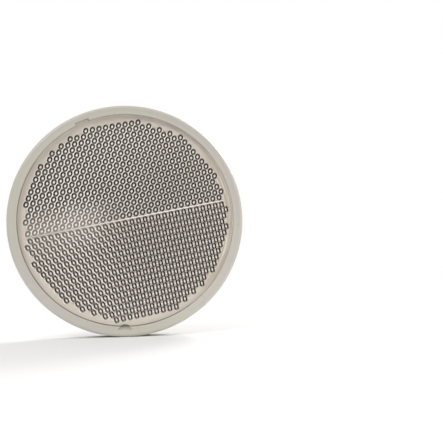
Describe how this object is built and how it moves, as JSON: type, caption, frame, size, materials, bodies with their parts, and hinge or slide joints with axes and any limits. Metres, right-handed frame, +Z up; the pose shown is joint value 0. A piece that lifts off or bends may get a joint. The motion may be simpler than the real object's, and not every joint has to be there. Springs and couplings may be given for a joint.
{
  "type": "retro-reflector",
  "caption": "Round clear retro-reflector: a prism lens in a white moulded body, with a threaded stud, star washer and nut behind it.",
  "frame": {"origin": "centre of the rear lip's plane, on the stud's axis, where the mounting panel lies", "axes": "+Y along the stud, away from the lens; the lens looks along -Y; +Z up, with the locating tab near the top"},
  "size_m": [0.084, 0.0259, 0.084],
  "materials": {
    "white_plastic": "moulded, smooth, off-white",
    "clear_plastic": "clear, polished face, prisms behind",
    "plated_steel": "bright nickel-like plating"
  },
  "bodies": {
    "body": {"housing": "white_plastic", "lens": "clear_plastic", "stud": "plated_steel"},
    "lock_washer": {"lock_washer": "plated_steel"},
    "nut": {"nut": "plated_steel"}
  },
  "joints": [
    {"name": "nut_turn", "type": "hinge", "parent": "body", "child": "lock_washer", "pos_m": [0, 0, 0], "axis": [0, 1, 0], "range_deg": [-2345, 4325]},
    {"name": "nut_travel", "type": "slide", "parent": "lock_washer", "child": "nut", "axis": [0, 1, 0], "range_m": [-0.0052, 0.0096]}
  ],
  "couplings": [
    {"joint": "nut_turn", "follows": "nut_travel", "rad_per_m": 7854}
  ]
}
